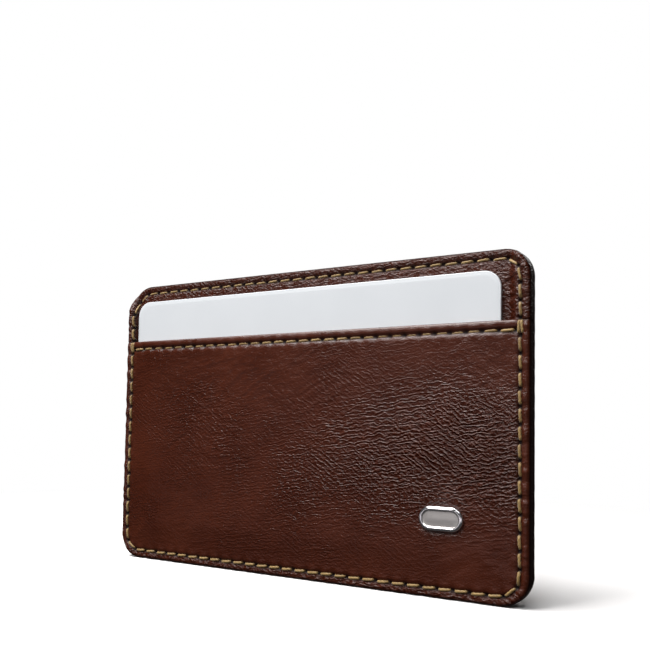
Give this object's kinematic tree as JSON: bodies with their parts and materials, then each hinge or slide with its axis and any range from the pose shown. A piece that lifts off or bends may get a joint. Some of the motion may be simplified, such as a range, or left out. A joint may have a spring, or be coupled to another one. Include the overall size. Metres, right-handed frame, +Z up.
{
  "type": "minimalist wallet",
  "caption": "Slim stitched leather card wallet with one front pocket and a blank card that slides out of it.",
  "frame": {"origin": "middle of the bottom edge that it stands on, in the middle of its thickness", "axes": "+X across the width, +Z up, and the pocket side faces -Y"},
  "size_m": [0.0936, 0.0048, 0.0614],
  "materials": {
    "front_leather": "semi-gloss dark brown leather with fine natural grain",
    "back_leather": "semi-gloss dark brown leather with fine natural grain",
    "edge_leather": "dark turned leather edge",
    "lining": "fine woven brown lining",
    "board": "pressed fibre board",
    "tape": "narrow woven stay tape",
    "thread": "twisted gold-tan thread with a slight sheen",
    "badge_metal": "satin nickel with a polished bevel",
    "card": "blank satin white card"
  },
  "bodies": {
    "wallet": {"back_panel": "back_leather", "core_board": "board", "inner_panel": "front_leather", "upper_rim_left": "front_leather", "upper_rim_right": "front_leather", "left_welt": "edge_leather", "right_welt": "edge_leather", "bottom_welt": "edge_leather", "pocket_lining": "lining", "pocket_panel": "front_leather", "mouth_tape": "tape", "edge_thread_front": "thread", "edge_thread_back": "thread", "mouth_thread_front": "thread", "mouth_thread_back": "thread", "bar_tack_left": "thread", "bar_tack_right": "thread", "badge": "badge_metal", "badge_backing": "badge_metal"},
    "card": {"card": "card"}
  },
  "joints": [
    {"name": "card_slide", "type": "slide", "parent": "wallet", "child": "card", "axis": [0, 0, 1], "range_m": [0, 0.06]}
  ]
}
